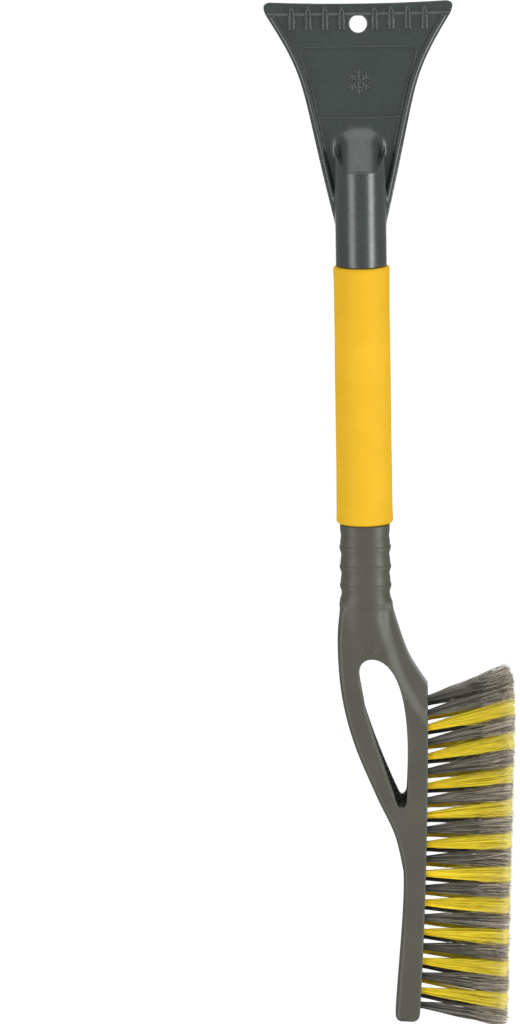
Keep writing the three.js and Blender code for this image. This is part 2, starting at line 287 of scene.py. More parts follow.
def surface_net(field, low, high, step):
    """The surface where the field is zero, as a part with one vertex in each cell that it crosses."""
    low = np.array(low, float)
    counts = np.ceil((np.array(high, float) - low) / step).astype(int) + 1
    axes = [low[a] + step * np.arange(counts[a]) for a in range(3)]
    values = np.empty(counts, np.float32)
    for start in range(0, counts[2], 24):
        slab = slice(start, start + 24)
        values[:, :, slab] = field(*np.meshgrid(axes[0], axes[1], axes[2][slab], indexing="ij"))
    inside = values < 0

    corners = [(i, j, k) for i in (0, 1) for j in (0, 1) for k in (0, 1)]
    filled = sum(
        inside[i:counts[0] - 1 + i, j:counts[1] - 1 + j, k:counts[2] - 1 + k].astype(np.int8)
        for i, j, k in corners
    )
    cells = np.argwhere((filled > 0) & (filled < 8))
    number = np.full(filled.shape, -1, np.int64)
    number[tuple(cells.T)] = np.arange(len(cells))

    place = np.zeros((len(cells), 3))
    crossings = np.zeros(len(cells))
    for corner in corners:
        for axis in range(3):
            if corner[axis]:
                continue
            start = cells + corner
            end = start.copy()
            end[:, axis] += 1
            a = values[tuple(start.T)].astype(float)
            b = values[tuple(end.T)].astype(float)
            crossed = (a < 0) != (b < 0)
            share = np.where(crossed, a / np.where(crossed, a - b, 1), 0)
            point = np.array(corner, float) + np.eye(3)[axis] * share[:, None]
            place += point * crossed[:, None]
            crossings += crossed
    points = low + step * (cells + place / crossings[:, None])

    quads = []
    for axis in range(3):
        b, c = (axis + 1) % 3, (axis + 2) % 3
        a_side = inside[tuple(slice(0, -1) if a == axis else slice(1, -1) for a in range(3))]
        b_side = inside[tuple(slice(1, None) if a == axis else slice(1, -1) for a in range(3))]
        edges = np.argwhere(a_side != b_side)
        edges[:, b] += 1
        edges[:, c] += 1
        around = []
        for db, dc in ((1, 1), (0, 1), (0, 0), (1, 0)):
            cell = edges.copy()
            cell[:, b] -= db
            cell[:, c] -= dc
            around.append(number[tuple(cell.T)])
        loop = np.stack(around, axis=1)
        outward = inside[tuple(edges.T)]
        loop[~outward] = loop[~outward][:, ::-1]
        quads.append(loop)

    for _ in range(3):
        slope = gradient(field, points, 0.05)
        steepness = np.maximum((slope ** 2).sum(1), 0.05)
        shift = slope * (field(*points.T) / steepness)[:, None]
        length = np.linalg.norm(shift, axis=1)
        shift *= np.minimum(1, 0.4 * step / np.maximum(length, 1e-9))[:, None]
        points -= shift
    normals = gradient(field, points, 0.12)
    normals /= np.maximum(np.linalg.norm(normals, axis=1), 1e-9)[:, None]
    return points, normals, np.vstack(quads)


def quads_from(corners, shape):
    """Faces from the numbers of their four corners, each an array that spreads over the shape."""
    return np.stack([np.broadcast_to(c, shape) for c in corners], axis=-1).reshape(-1, 4)


def bead(path, radius, up, sides=8, closed=False):
    """A thin round ridge along a path, with round ends unless it is closed."""
    path = np.array(path, float)
    radii = np.full(len(path), float(radius))
    if closed:
        tangents = np.roll(path, -1, axis=0) - np.roll(path, 1, axis=0)
    else:
        swell = np.array([0.05, 0.55, 0.85])
        start = path[0] - (path[1] - path[0]) / np.linalg.norm(path[1] - path[0]) * radius
        end = path[-1] + (path[-1] - path[-2]) / np.linalg.norm(path[-1] - path[-2]) * radius
        share = np.array([0, 0.2, 0.5])[:, None]
        path = np.vstack([start + (path[0] - start) * share, path, (end + (path[-1] - end) * share)[::-1]])
        radii = np.concatenate([radius * swell, radii, radius * swell[::-1]])
        tangents = np.gradient(path, axis=0)
    tangents /= np.linalg.norm(tangents, axis=1)[:, None]
    side = np.cross(tangents, np.array(up, float))
    side /= np.linalg.norm(side, axis=1)[:, None]
    rise = np.cross(side, tangents)
    angles = np.arange(sides) * 2 * math.pi / sides
    normals = side[:, None] * np.cos(angles)[None, :, None] + rise[:, None] * np.sin(angles)[None, :, None]
    points = path[:, None] + normals * radii[:, None, None]
    rows = len(path)
    row = np.arange(rows if closed else rows - 1)[:, None]
    column = np.arange(sides)[None, :]
    below = (row + 1) % rows * sides
    following = (column + 1) % sides
    corners = (row * sides + column, below + column, below + following, row * sides + following)
    quads = [quads_from(corners, (len(row), sides))]
    if not closed:
        last = (rows - 1) * sides
        for step in range(1, sides // 2):
            fan = np.array([0, 2 * step - 1, 2 * step, 2 * step + 1])
            quads.append(np.array([fan, last + fan[::-1]]))
    return points.reshape(-1, 3), normals.reshape(-1, 3), np.vstack(quads)


def merge(parts):
    """One part from several."""
    offset = 0
    quads = []
    for points, _, faces in parts:
        quads.append(faces + offset)
        offset += len(points)
    return np.vstack([p[0] for p in parts]), np.vstack([p[1] for p in parts]), np.vstack(quads)


def make_piece(name, points, face_groups, material, normals=None, attributes=None):
    """A Blender object from points in the tool's frame and arrays of faces."""
    mesh = bpy.data.meshes.new(name)
    placed = (np.asarray(points) + (0, AXIS_Y, 0)) * MM
    corners = np.concatenate([faces.ravel() for faces in face_groups]).astype(np.int32)
    sizes = np.concatenate([np.full(len(faces), faces.shape[1]) for faces in face_groups])
    starts = (np.cumsum(sizes) - sizes).astype(np.int32)
    mesh.vertices.add(len(placed))
    mesh.vertices.foreach_set("co", placed.astype(np.float32).ravel())
    mesh.loops.add(len(corners))
    mesh.loops.foreach_set("vertex_index", corners)
    mesh.polygons.add(len(starts))
    mesh.polygons.foreach_set("loop_start", starts)
    mesh.update(calc_edges=True)
    mesh.polygons.foreach_set("use_smooth", np.ones(len(starts), bool))
    for key, values in (attributes or {}).items():
        layer = mesh.attributes.new(key, "FLOAT", "POINT")
        layer.data.foreach_set("value", np.asarray(values, np.float32).ravel())
    if normals is not None:
        mesh.normals_split_custom_set_from_vertices(normals.tolist())
    mesh.materials.append(material)
    piece = bpy.data.objects.new(name, mesh)
    bpy.context.scene.collection.objects.link(piece)
    return piece


# ------------------------------------------------------------------------------------------------
# Materials
# ------------------------------------------------------------------------------------------------

class Shader:
    """A small builder for one procedural material."""

    def __init__(self, name):
        self.material = bpy.data.materials.new(name)
        self.material.use_nodes = True
        self.tree = self.material.node_tree
        self.surface = self.tree.nodes["Principled BSDF"]
        self.place = self.node("ShaderNodeTexCoord").outputs["Object"]

    def node(self, kind, **settings):
        made = self.tree.nodes.new(kind)
        for key, value in settings.items():
            setattr(made, key, value)
        return made

    def link(self, source, target):
        self.tree.links.new(source, target)

    def noise(self, scale, detail=3.0, roughness=0.55, place=None):
        made = self.node("ShaderNodeTexNoise")
        made.inputs["Scale"].default_value = scale
        made.inputs["Detail"].default_value = detail
        made.inputs["Roughness"].default_value = roughness
        self.link(place or self.place, made.inputs["Vector"])
        return made.outputs["Fac"]

    def spread(self, value, low, high, to_low, to_high):
        made = self.node("ShaderNodeMapRange")
        for key, number in (("From Min", low), ("From Max", high), ("To Min", to_low), ("To Max", to_high)):
            made.inputs[key].default_value = number
        self.link(value, made.inputs["Value"])
        return made.outputs["Result"]

    def blend(self, share, first, second):
        """Mix of two colours, each a socket or a triple."""
        made = self.node("ShaderNodeMix", data_type="RGBA")
        colours = [s for s in made.inputs if s.type == "RGBA"]
        self.link(share, made.inputs["Factor"])
        for socket, colour in zip(colours, (first, second)):
            if isinstance(colour, tuple):
                socket.default_value = (*colour, 1)
            else:
                self.link(colour, socket)
        return next(s for s in made.outputs if s.type == "RGBA")

    def multiply(self, first, second):
        made = self.node("ShaderNodeMath", operation="MULTIPLY")
        self.link(first, made.inputs[0])
        self.link(second, made.inputs[1])
        return made.outputs[0]

    def bumps(self, *layers):
        """Stacks height layers, each (height socket, distance in metres, strength)."""
        normal = None
        for height, distance, strength in layers:
            made = self.node("ShaderNodeBump")
            made.inputs["Distance"].default_value = distance
            made.inputs["Strength"].default_value = strength
            self.link(height, made.inputs["Height"])
            if normal:
                self.link(normal, made.inputs["Normal"])
            normal = made.outputs["Normal"]
        self.link(normal, self.surface.inputs["Normal"])


def scaled(colour, factor):
    return tuple(c * factor for c in colour)


def moulded_plastic(name, colour, roughness, gloss, grain):
    """Injection moulded plastic: faint flow clouds, a fine grain, and paler convex edges that are partly
    scuffs and partly a painted edge highlight.
    """
    s = Shader(name)
    clouds = s.spread(s.noise(38, 4), 0.3, 0.7, 0, 1)
    base = s.blend(clouds, scaled(colour, 0.9), scaled(colour, 1.1))
    point = s.node("ShaderNodeNewGeometry").outputs["Pointiness"]
    edges = s.spread(point, 0.515, 0.6, 0, 0.5)
    edge_highlight_and_scuffs = s.multiply(edges, s.spread(s.noise(160, 5, 0.7), 0.35, 0.65, 0.2, 1))
    # Convex edges are blended towards a colour 2.4 times paler: a painted edge highlight, broken up by
    # noise like scuffs.
    s.link(s.blend(edge_highlight_and_scuffs, base, scaled(colour, 2.4)), s.surface.inputs["Base Color"])
    fine = s.noise(grain, 2)
    polish = s.spread(s.noise(420, 4), 0.3, 0.7, roughness - 0.05, roughness + 0.06)
    s.link(polish, s.surface.inputs["Roughness"])
    s.surface.inputs["Specular IOR Level"].default_value = gloss
    s.bumps((s.noise(70, 2), 0.0004, 0.08), (fine, 0.000012, 0.15))
    return s.material


def foam_material():
    """Closed-cell foam sleeve: a skin of fine cells with painted shade in their hollows, slightly dulled in
    patches.
    """
    s = Shader("yellow_foam")
    clouds = s.spread(s.noise(45, 4), 0.3, 0.7, 0, 1)
    base = s.blend(clouds, (0.79, 0.455, 0.012), (0.85, 0.5, 0.017))
    cells = s.node("ShaderNodeTexVoronoi", feature="F1")
    cells.inputs["Scale"].default_value = 1500
    s.link(s.place, cells.inputs["Vector"])
    pores = s.spread(cells.outputs["Distance"], 0.1, 0.7, 0, 1)
    # The middle of each cell's hollow is darkened towards deep orange: painted shade in the pores.
    pore_shade = s.spread(pores, 0, 0.35, 0.22, 0)
    s.link(s.blend(pore_shade, base, (0.6, 0.33, 0.008)), s.surface.inputs["Base Color"])
    s.link(s.spread(s.noise(300, 3), 0.3, 0.7, 0.62, 0.78), s.surface.inputs["Roughness"])
    s.surface.inputs["Specular IOR Level"].default_value = 0.3
    s.bumps((s.noise(55, 3), 0.0006, 0.25), (cells.outputs["Distance"], 0.00006, 0.35))
    return s.material


def steel_material():
    """Drawn steel: fine streaks along the tube and a thin zinc bloom."""
    s = Shader("drawn_steel")
    stretched = s.node("ShaderNodeMapping")
    stretched.inputs["Scale"].default_value = (1, 1, 0.03)
    s.link(s.place, stretched.inputs["Vector"])
    streaks = s.noise(1500, 3, place=stretched.outputs["Vector"])
    s.link(s.blend(s.noise(90, 4), (0.5, 0.52, 0.54), (0.62, 0.64, 0.66)), s.surface.inputs["Base Color"])
    s.link(s.spread(streaks, 0.3, 0.7, 0.25, 0.42), s.surface.inputs["Roughness"])
    s.surface.inputs["Metallic"].default_value = 1.0
    s.bumps((streaks, 0.00002, 0.3))
    return s.material


def bristle_material(name, root, middle, tip, tip_start, darkest, lightest):
    """Plastic filament whose colour runs from painted shade at its root, through its own colour, to its
    worn tip, and differs from hair to hair.
    """
    s = Shader(name)
    along = s.node("ShaderNodeAttribute", attribute_name="along").outputs["Fac"]
    tone = s.node("ShaderNodeAttribute", attribute_name="tone").outputs["Fac"]
    # The root colour is a darker shade of the filament's own colour: painted shade deep in the tuft, fading
    # out over the first 30% of its length.
    body = s.blend(s.spread(along, 0.0, 0.3, 0, 1), root, middle)
    worn = s.multiply(s.spread(along, tip_start, 0.97, 0, 1), s.spread(tone, 0, 1, 0.55, 1))
    base = s.blend(worn, body, tip)
    shade = s.node("ShaderNodeHueSaturation")
    s.link(base, shade.inputs["Color"])
    s.link(s.spread(tone, 0, 1, darkest, lightest), shade.inputs["Value"])
    speckle = s.spread(s.noise(1300, 2), 0.46, 0.62, 0, 1)
    dust = s.multiply(speckle, s.spread(along, 0.15, 0.9, 0.02, 0.35))
    s.link(s.blend(dust, shade.outputs["Color"], tip), s.surface.inputs["Base Color"])
    s.link(s.spread(tone, 0, 1, 0.3, 0.5), s.surface.inputs["Roughness"])
    return s.material


HEAD_PLASTIC = moulded_plastic("head_plastic", (0.035, 0.046, 0.043), 0.27, 0.9, 2600)
STOCK_PLASTIC = moulded_plastic("stock_plastic", (0.072, 0.071, 0.053), 0.46, 0.65, 2200)
FOAM = foam_material()
STEEL = steel_material()
# Each bristle takes a root colour that is painted shade, then its own colour, then its worn tip colour.
YELLOW_BRISTLE = bristle_material(
    "yellow_bristle", (0.96, 0.7, 0.015), (1.0, 0.83, 0.04), (0.94, 0.84, 0.26), 0.8, 0.84, 1.22)
DARK_BRISTLE = bristle_material(
    "dark_bristle", (0.06, 0.06, 0.052), (0.16, 0.155, 0.13), (0.42, 0.37, 0.305), 0.55, 0.25, 2.7)


# ------------------------------------------------------------------------------------------------
# Scraper head
# ------------------------------------------------------------------------------------------------

BLADE_UP = np.array([0, math.sin(LEAN), math.cos(LEAN)])
BLADE_OUT = np.array([0, -math.cos(LEAN), math.sin(LEAN)])
SIDE_CURVE = bezier((13.0, BLADE_FOOT), (36.6, -29.5), (26.6, -37.0), (55.2, 8.4), 60)


def blade_half_width(v):
    """Half the blade's width at a height, and how fast it grows."""
    width = np.interp(v, SIDE_CURVE[:, 1], SIDE_CURVE[:, 0])
    slope_at = (SIDE_CURVE[1:, 1] + SIDE_CURVE[:-1, 1]) / 2
    slope = np.interp(v, slope_at, np.diff(SIDE_CURVE[:, 0]) / np.diff(SIDE_CURVE[:, 1]))
    return width + np.maximum(v - SIDE_CURVE[-1, 1], 0) * slope * 0.5, slope


def blade_front(v):
    """How far the blade's front stands out: it steps back at the foot of the bevel and thins above."""
    step = BEVEL_STEP * smooth((v - BEVEL_HEIGHT + 0.4) / 1.1)
    return BLADE_HALF - step - BEVEL_SLOPE * np.maximum(v - BEVEL_HEIGHT - 0.7, 0)


def rib_front(v):
    return BLADE_HALF + RIB_RISE - BEVEL_SLOPE * np.maximum(v - BEVEL_HEIGHT - 0.7, 0)


def panel_distance(x, v):
    """Distance from the sunken panel's rounded border, negative inside it."""
    side = (np.abs(x) - PANEL_BOTTOM_HALF - PANEL_SLOPE * (v - PANEL_BOTTOM)) / math.hypot(1, PANEL_SLOPE)
    middle = (PANEL_TOP + PANEL_BOTTOM) / 2
    ends = np.abs(v - middle) - (PANEL_TOP - PANEL_BOTTOM) / 2
    return rounded_edge(side, ends, PANEL_CORNER)


def blade_field(x, v, n):
    """The plate with its rims, bevel and ice ribs, from (across, up, out) in the plate's own plane."""
    width, slope = blade_half_width(v)
    side = (np.abs(x) - width) / np.sqrt(1 + slope ** 2)
    top = v - SCRAPE_MIDDLE - SCRAPE_RISE * (x / SCRAPE_HALF) ** 2
    edge = np.maximum(common(side, top, BLADE_CORNER), BLADE_FOOT - v)
    recess = PANEL_DEPTH * smooth(0.5 - panel_distance(x, v) / 0.7)
    plate = rounded_edge(edge, np.maximum(n - BLADE_HALF + recess, -n - BLADE_HALF), 0.5)

    lower = smooth((RIM_CHANGE_TOP - v) / RIM_CHANGE_LENGTH)
    radius = RIM_RADIUS + (RIM_LOW_RADIUS - RIM_RADIUS) * lower
    rise = RIM_RISE + (RIM_LOW_RISE - RIM_RISE) * lower
    above_middle = np.maximum(n - BLADE_HALF - rise + radius, 0)
    crown = np.hypot(side + RIM_RADIUS + 0.5 * lower, above_middle) - radius
    rim = np.maximum(np.maximum(crown, -n), edge)
    field = join(plate, rim, 1.0)
    over_rims = (n - BLADE_HALF) * RIM_CUT_OUT + (v - BEVEL_HEIGHT + 0.4) * RIM_CUT_UP
    field = common(field, np.minimum((n - blade_front(v)) * 0.75, over_rims), 0.3)

    from_middle = np.abs(x) - RIB_FIRST
    index = np.clip(np.round(from_middle / RIB_PITCH), 0, 3)
    across = np.abs(from_middle - index * RIB_PITCH) - RIB_HALF_WIDTH
    lengthwise = np.abs(v - (RIB_TOP + RIB_BOTTOM) / 2) - (RIB_TOP - RIB_BOTTOM) / 2
    rib = rounded_edge(rounded_edge(across, lengthwise, 1.2), np.maximum(n - rib_front(v), -n - 0.5), 0.4)
    return join(field, rib, 0.4)


def head_field(x, y, z):
    """The whole head. Bare factors here only even out how fast a field grows."""
    v = BLADE_UP[1] * (y - SETBACK) + BLADE_UP[2] * z
    n = BLADE_OUT[1] * (y - SETBACK) + BLADE_OUT[2] * z
    blade = blade_field(x, v, n)

    around = np.hypot(x, y) - SOCKET_RADIUS
    behind_front = np.maximum(y + np.sqrt(np.maximum(SOCKET_RADIUS ** 2 - x ** 2, 0)), 0)
    ear = EAR_RISE * np.clip((np.abs(x) - EAR_START) / (SOCKET_RADIUS - EAR_START), 0, 1)
    roof = (z - CREST - ear - CREST_SLOPE * np.minimum(behind_front, CREST_REACH)) * 0.8
    barrel = rounded_edge(common(around, roof, 0.6), SOCKET_BOTTOM - z, 0.7)

    set_back = y - np.maximum(0, z - CREST) / RAMP_SLOPE
    front = np.minimum(set_back, 0) / SOCKET_RADIUS
    ratio = superellipse(x / RAMP_HALF_WIDTH, front, RAMP_POWER)
    ramp = common((np.hypot(x, set_back) - SOCKET_RADIUS) * 0.72, (ratio - 1) * 9, 1.5)
    ramp = common(ramp, np.maximum(np.maximum(z - RAMP_TOP - 6, CREST - 1 - z), -n), 1.0)

    field = join(blade, ramp, 0.8 + 3.8 * smooth((z + 82) / 10))
    fillet = 0.05 + 2.2 * smooth((z - CREST) / 6) + 1.3 * smooth((CREST - z) / 6)
    field = join(field, barrel, fillet)

    bore = np.maximum(np.hypot(x, y) - BORE_RADIUS, z - TUBE_TOP - 0.3)
    hole = np.hypot(x, v) - HOLE_RADIUS
    return common(common(field, -bore, 0.6), -hole, 0.7)


def on_blade(x, v, n):
    """A point of the tool's frame from the blade's own (across, up, out)."""
    return np.array([x, SETBACK, 0.0]) + BLADE_UP * v + BLADE_OUT * n


def rib_beads():
    """The raised border of each ice rib: two legs joined by an arch at the top."""
    parts = []
    arch = np.linspace(0, math.pi, 9)
    reach = RIB_HALF_WIDTH - 0.42
    for index in range(4):
        for side in (-1, 1):
            middle = side * (RIB_FIRST + index * RIB_PITCH)
            top = [(reach * math.cos(a), RIB_TOP - RIB_ARCH_DROP + reach * math.sin(a)) for a in arch]
            outline = [(reach, RIB_BOTTOM + 0.4), *top, (-reach, RIB_BOTTOM + 0.4)]
            path = [on_blade(middle + x, v, rib_front(v)) for x, v in outline]
            parts.append(bead(path, 0.58, BLADE_OUT))
    return parts


def emblem_beads():
    """A plain six-armed snowflake in relief on the sunken panel."""
    floor = BLADE_HALF - PANEL_DEPTH + 0.1
    bars = [((0, 0.9), (0, 7.0))]
    for side in (-1, 1):
        for start, length in ((2.7, 2.0), (4.5, 2.4)):
            tip = (side * length * math.sin(math.radians(55)), start + length * math.cos(math.radians(55)))
            bars.append(((0, start), tip))
    parts = []
    for arm in range(6):
        turn = math.radians(60 * arm)
        for bar in bars:
            ends = []
            for x, v in bar:
                across = x * math.cos(turn) - v * math.sin(turn)
                up = x * math.sin(turn) + v * math.cos(turn)
                ends.append(on_blade(across, EMBLEM_HEIGHT + up, floor))
            path = np.linspace(ends[0], ends[1], 4)
            parts.append(bead(path, 0.54, BLADE_OUT))
    return parts


def head_lines():
    """Fine mould ridges: the bevel's foot, the panel's border, and a short one above the hang hole."""
    parts = []
    reach = np.linspace(0.3, 49.5, 30)
    for side in (-1, 1):
        path = [on_blade(side * x, BEVEL_HEIGHT - 0.5, BLADE_HALF - 0.05) for x in reach]
        parts.append(bead(path, 0.34, BLADE_OUT))
    border = []
    for side_x, side_v, start in ((1, 1, 0), (-1, 1, 90), (-1, -1, 180), (1, -1, 270)):
        v_middle = (PANEL_TOP if side_v > 0 else PANEL_BOTTOM) - side_v * PANEL_CORNER
        x_middle = side_x * (PANEL_BOTTOM_HALF + PANEL_SLOPE * (v_middle - PANEL_BOTTOM) - PANEL_CORNER)
        for turn in np.radians(np.linspace(start, start + 90, 8)):
            x = x_middle + PANEL_CORNER * math.cos(turn)
            v = v_middle + PANEL_CORNER * math.sin(turn)
            border.append(on_blade(x, v, BLADE_HALF))
    parts.append(bead(border, 0.36, BLADE_OUT, closed=True))
    middle = [on_blade(-0.6, v, blade_front(v)) for v in np.linspace(6.4, 11.0, 5)]
    parts.append(bead(middle, 0.25, BLADE_OUT))
    return parts


def build_head():
    low = (-57.5, -SOCKET_RADIUS - 1.5, SOCKET_BOTTOM - 1.5)
    high = (57.5, SETBACK + 4.5, 15.0)
    parts = [surface_net(head_field, low, high, HEAD_STEP)]
    parts += rib_beads() + emblem_beads() + head_lines()
    points, normals, quads = merge(parts)
    piece = make_piece("scraper_head_moulding", points, [quads], HEAD_PLASTIC, normals)
    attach(piece, "root")
    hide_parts("scraper_head")


# ------------------------------------------------------------------------------------------------
# Foam grip and tube
# ------------------------------------------------------------------------------------------------

def foam_radius(z, angle):
    """Outer radius of the sleeve: flared a little at both ends, with a soft, slow unevenness."""
    from_end = np.minimum(FOAM_TOP - z, z - FOAM_BOTTOM)
    flare = 0.45 * np.exp(-from_end / 7.0)
    waves = 0.05 * np.sin(z / 17 + 1.3) * np.cos(angle * 2 + z / 31) + 0.03 * np.sin(z / 6.1 + 3 * angle)
    return 16.2 + flare + waves


def build_foam():
    sides, edge = 96, 2.2
    corner = np.linspace(0, math.pi / 2, 8)
    stations = [(z, 0.0) for z in np.linspace(FOAM_TOP - edge, FOAM_BOTTOM + edge, 120)]
    top = [(FOAM_TOP - edge + edge * math.cos(a), edge * (1 - math.sin(a))) for a in corner]
    bottom = [(FOAM_BOTTOM + edge - edge * math.sin(a), edge * (1 - math.cos(a))) for a in corner]
    outer = top[:-1] + stations + bottom[1:]
    angles = np.arange(sides) * 2 * math.pi / sides
    rings = [(FOAM_TOP, np.full(sides, BORE_RADIUS))]
    for z, inset in outer:
        rings.append((z, foam_radius(z, angles) - inset))
    rings.append((FOAM_BOTTOM, np.full(sides, BORE_RADIUS)))
    points = np.array([
        np.stack([r * np.cos(angles), r * np.sin(angles), np.full(sides, z)], axis=1) for z, r in rings
    ])
    count = len(rings)
    row = np.arange(count)[:, None]
    column = np.arange(sides)[None, :]
    after = (row + 1) % count * sides
    beside = (column + 1) % sides
    corners = (row * sides + column, after + column, after + beside, row * sides + beside)
    quads = quads_from(corners, (count, sides))
    piece = make_piece("foam_sleeve", points.reshape(-1, 3), [quads], FOAM)
    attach(piece, "root")
    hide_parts("foam_grip")


def finish_tube():
    """The CAD tube keeps its shape and gets its steel finish."""
    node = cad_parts["handle_tube"]
    node.data.materials.clear()
    node.data.materials.append(STEEL)


# ------------------------------------------------------------------------------------------------
# Brush stock
# ------------------------------------------------------------------------------------------------

def face_x(z):
    """Where the brush face is at a height: nearly straight, bowed out a little in the middle."""
    share = (FACE_TOP - z) / (FACE_TOP - STOCK_BOTTOM)
    return FACE_TOP_X + (FACE_BOTTOM_X - FACE_TOP_X) * share + 4 * FACE_BULGE * share * (1 - share)


def stock_outline():
    """The body in front view: neck and strut on the left, foot, brush face, and the flank above it."""
    bottom, corner = STOCK_BOTTOM, 5.0
    neck = [
        (-14.2, -336), (-16.8, -360), (-14.9, -391), (-8, -420),
        (4.5, -451), (14.9, -474), (19.6, -495),
    ]
    flank = [(FACE_TOP_X, FACE_TOP), (25, -370), (18.6, -352), (14.2, -336)]
    face = [(face_x(z), z) for z in np.linspace(bottom + corner, FACE_TOP, 40, endpoint=False)]
    return np.vstack([
        spline(neck),
        bezier((19.6, -495), (20.6, -515), (16.6, -545), (14, bottom + corner)),
        quadratic((14, bottom + corner), (13.8, bottom), (13.8 + corner, bottom)),
        quadratic((FACE_BOTTOM_X - corner, bottom), (FACE_BOTTOM_X, bottom), face[0]),
        face,
        spline(flank),
    ])


def opening_outline(bottom, inset):
    """The hand opening: wide under the neck, narrowing to the right along the curved strut."""
    return np.vstack([
        bezier((22.1, bottom + 3), (24.4, -420), (23.5, -390), (14, -377)),
        bezier((14, -377), (9, -370), (1, -368.4), (-2.6, -372.6)),
        bezier((-2.6, -372.6), (-6.4, -377), (-3.4, -386), (-1.4, -400)),
        bezier((-1.4, -400), (2 + inset, -415), (9 + inset, -434), (17 + inset, bottom + 1.4)),
        quadratic((17 + inset, bottom + 1.4), (20, bottom - 1.2), (22.1, bottom + 3)),
    ])


STOCK_OUTLINE = Outline(stock_outline())
FRONT_OPENING = Outline(opening_outline(-458.6, 0))
THROUGH_OPENING = Outline(opening_outline(-452.8, 1))
SHOULDER = spline([
    (8, -326), (8, -334), (14, -358), (20.1, -378.6),
    (25.8, -390.4), (32.9, -401.7), (44, -414),
])


def collar_shape(z):
    """Half width and half depth of the ribbed collar, which sinks into the body below its rings."""
    ring = np.abs(np.cos(math.pi * (z - FIRST_RING) / RING_PITCH)) ** 0.7
    swell = RING_RISE * ring * smooth((z - RINGS_END) / 9)
    below_line = np.mod(FIRST_RING - z, RING_PITCH)
    ledge = LEDGE_RISE * smooth(below_line / 0.9) * smooth((4.5 - below_line) / 3.5)
    swell = swell + ledge * smooth((FIRST_RING - 4 - z) / 3) * smooth(z - RINGS_END - 4)
    sink = smooth((SINK_TOP - z) / SINK_LENGTH)
    half_depth = COLLAR_RADIUS * COLLAR_DEPTH_RATIO + 0.7 * swell - 3.2 * sink
    return COLLAR_RADIUS + swell - 3 * sink, half_depth


def tuft_lean(index):
    """A tuft's tilt: upwards at the top of the row, level in the middle and downwards below."""
    above = TUFT_TOP_LEAN * (TUFT_LEVEL - index) / TUFT_LEVEL
    below = TUFT_BOTTOM_LEAN * (index - TUFT_LEVEL) / (TUFT_FRONT - TUFT_LEVEL)
    return np.where(index < TUFT_LEVEL, above, below)


def tuft_holes(x, y, z):
    """Distance to the nearest of the two rows of tuft holes."""
    nearest = None
    for depth, offset, count in ((-TUFT_ROW, 0.0, TUFT_FRONT), (TUFT_ROW, 0.5, TUFT_BACK)):
        guess = (TUFT_FIRST - z) / TUFT_PITCH
        at_face = z - (x - face_x(z)) * np.tan(tuft_lean(guess))
        index = np.clip(np.round((TUFT_FIRST - at_face) / TUFT_PITCH - offset), 0, count - 1) + offset
        lean = tuft_lean(index)
        dx = x - face_x(TUFT_FIRST - index * TUFT_PITCH)
        dz = z - (TUFT_FIRST - index * TUFT_PITCH)
        along = dx * np.cos(lean) + dz * np.sin(lean)
        across = np.hypot(dz * np.cos(lean) - dx * np.sin(lean), y - depth) - TUFT_HOLE_RADIUS
        hole = np.maximum(across, -TUFT_HOLE_DEPTH - along)
        nearest = hole if nearest is None else np.minimum(nearest, hole)
    return nearest


def stock_field(x, y, z):
    """The whole stock: collar and body, less the hand opening, the tuft holes and the tube's bore."""
    half_width, half_depth = collar_shape(z)
    ratio = superellipse(x / half_width, y / half_depth, COLLAR_POWER)
    collar = common((ratio - 1) * half_depth, z - COLLAR_TOP, 0.9)
    collar = np.maximum(collar, COLLAR_END - z)

    shoulder_x = np.interp(-z, -SHOULDER[:, 1], SHOULDER[:, 0])
    drop = FLANK_DROP * smooth((x - shoulder_x + 6) / 9)
    edge_radius = 3.0 - 2.2 * smooth((x - np.minimum(shoulder_x, 19)) / 6)
    body = rounded_edge(STOCK_OUTLINE(x, z), np.abs(y) - STOCK_HALF_DEPTH + drop, edge_radius)
    field = join(collar, body, 3.0)

    rough = 0.5 * np.sin(2.3 * x + 0.7 * z) * np.sin(1.9 * z - 0.5 * x)
    ledge = common(FRONT_OPENING(x, z), y - OPENING_STEP_DEPTH + rough, 0.6)
    opening = np.minimum(ledge, THROUGH_OPENING(x, z))
    field = common(field, -opening, 1.0)
    field = common(field, -tuft_holes(x, y, z), 0.5)
    bore = np.maximum(np.hypot(x, y) - BORE_RADIUS, TUBE_BOTTOM - 0.3 - z)
    return common(field, -bore, 0.6)


def on_stock(path, side):
    """The path moved along y onto the stock's front (side -1) or back (side 1)."""
    path = np.array(path, float)
    reach = np.array([0, 0.05, 0])
    for _ in range(12):
        slope = (stock_field(*(path + reach).T) - stock_field(*(path - reach).T)) / 0.1
        slope = side * np.maximum(side * slope, 0.3)
        path[:, 1] -= np.clip(stock_field(*path.T) / slope, -1, 1)
    return path


def collar_lines():
    """The mould's witness line across the front and back at the end of the collar."""
    z = FIRST_RING - 4 * RING_PITCH
    parts = []
    for side in (-1, 1):
        path = [(x, side * (COLLAR_RADIUS + 2), z) for x in np.linspace(-6, 7.5, 25)]
        parts.append(bead(on_stock(path, side), 0.3, (0, side, 0)))
    return parts


def ejector_rings():
    """Raised circles left by the mould's ejector pins on the front and the back."""
    parts = []
    turn = np.linspace(0, 2 * math.pi, 40, endpoint=False)
    for x, z, radius in EJECTOR_PINS:
        for side in (-1, 1):
            y = side * (STOCK_HALF_DEPTH + 2)
            path = [(x + radius * math.cos(a), y, z + radius * math.sin(a)) for a in turn]
            parts.append(bead(on_stock(path, side), 0.34, (0, side, 0), closed=True))
    return parts


